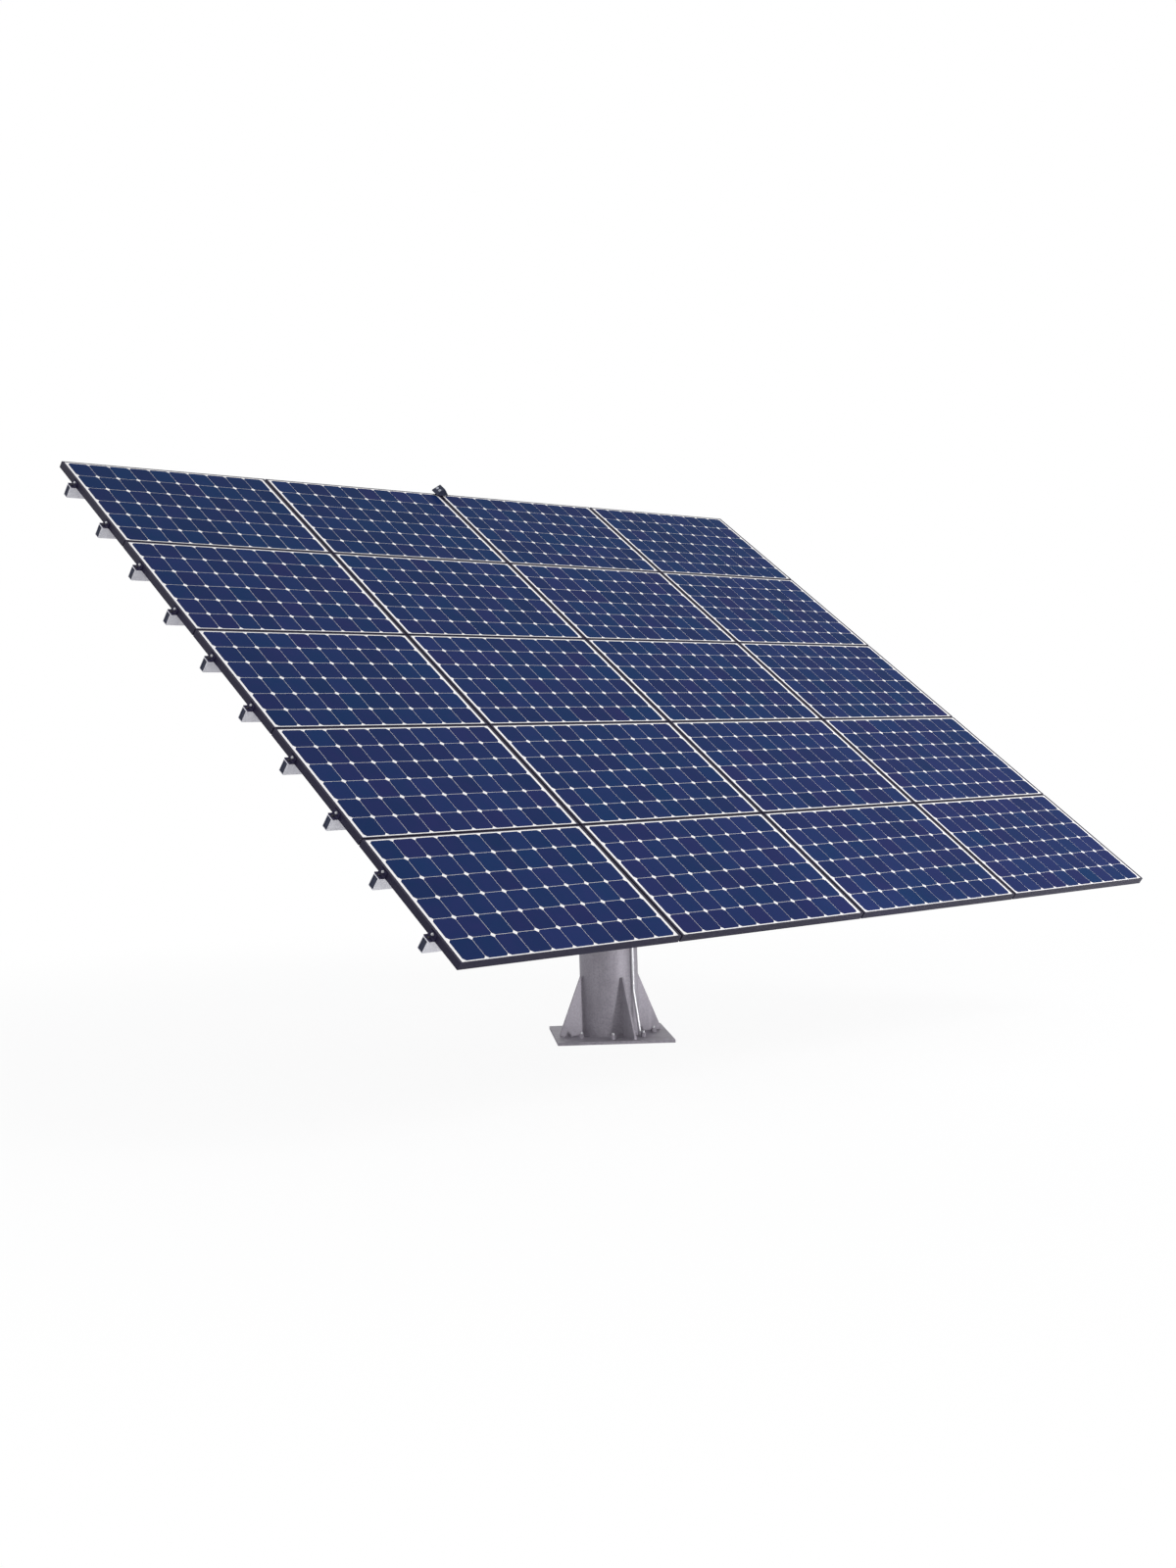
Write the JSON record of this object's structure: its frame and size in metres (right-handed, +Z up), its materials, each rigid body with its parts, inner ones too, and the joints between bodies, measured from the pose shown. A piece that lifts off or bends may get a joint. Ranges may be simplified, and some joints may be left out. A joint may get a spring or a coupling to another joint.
{
  "type": "dual-axis solar tracker on a pole",
  "caption": "Pole-mounted dual-axis solar tracker: a flanged pole with gussets carries two slewing drives, a torque tube, rafters, purlins and a table of framed photovoltaic modules.",
  "frame": {"origin": "Centre of the base plate's underside, on the pole's axis, where the plate rests on its footing", "axes": "+Z up the pole; +X along the module rows, left to right as seen from the glass side; at rest the glass faces -Y and up, tilted 38 degrees from level"},
  "size_m": [6.763, 3.9337, 4.0745],
  "materials": {
    "galvanised_steel": "dull hot-dip galvanised, weathered mauve grey",
    "purlin_steel": "bright pre-galvanised strip",
    "bright_conduit": "smooth bright galvanised",
    "machined_steel": "machined and greased",
    "drive_casting": "grey enamel on castings",
    "motor_paint": "satin dark grey",
    "module_frame": "black anodised, satin",
    "module_laminate": "dark blue cells with white gaps under clear glass",
    "clamp_black": "black anodised",
    "black_plastic": "fine-grained black"
  },
  "bodies": {
    "base": {"base_plate": "galvanised_steel", "pole_tube": "galvanised_steel", "pole_flange": "galvanised_steel", "gussets": "galvanised_steel", "conduit": "bright_conduit", "conduit_clips": "bright_conduit", "azimuth_ring": "machined_steel"},
    "head": {"azimuth_housing": "drive_casting", "turntable": "drive_casting", "azimuth_motor": "motor_paint", "tilt_housing": "drive_casting", "tilt_motor": "motor_paint"},
    "table": {"tilt_ring": "machined_steel", "torque_tube_left": "galvanised_steel", "torque_tube_right": "galvanised_steel", "rafter_saddles": "galvanised_steel", "rafter_1": "galvanised_steel", "rafter_2": "galvanised_steel", "rafter_3": "galvanised_steel", "rafter_4": "galvanised_steel", "purlin_01": "purlin_steel", "purlin_02": "purlin_steel", "purlin_03": "purlin_steel", "purlin_04": "purlin_steel", "purlin_05": "purlin_steel", "purlin_06": "purlin_steel", "purlin_07": "purlin_steel", "purlin_08": "purlin_steel", "purlin_09": "purlin_steel", "purlin_10": "purlin_steel", "frame_row_1": "module_frame", "frame_row_2": "module_frame", "frame_row_3": "module_frame", "frame_row_4": "module_frame", "frame_row_5": "module_frame", "laminate_row_1": "module_laminate", "laminate_row_2": "module_laminate", "laminate_row_3": "module_laminate", "laminate_row_4": "module_laminate", "laminate_row_5": "module_laminate", "junction_boxes": "black_plastic", "end_clamps_left": "clamp_black", "end_clamps_right": "clamp_black", "sun_sensor": "black_plastic", "sensor_bracket": "clamp_black"}
  },
  "joints": [
    {"name": "azimuth_turn", "type": "hinge", "parent": "base", "child": "head", "pos_m": [0, 0, 1.734], "axis": [0, 0, 1], "range_deg": [-120, 120]},
    {"name": "table_tilt", "type": "hinge", "parent": "head", "child": "table", "pos_m": [0, 0, 2.136], "axis": [1, 0, 0], "range_deg": [-38, 27]}
  ]
}
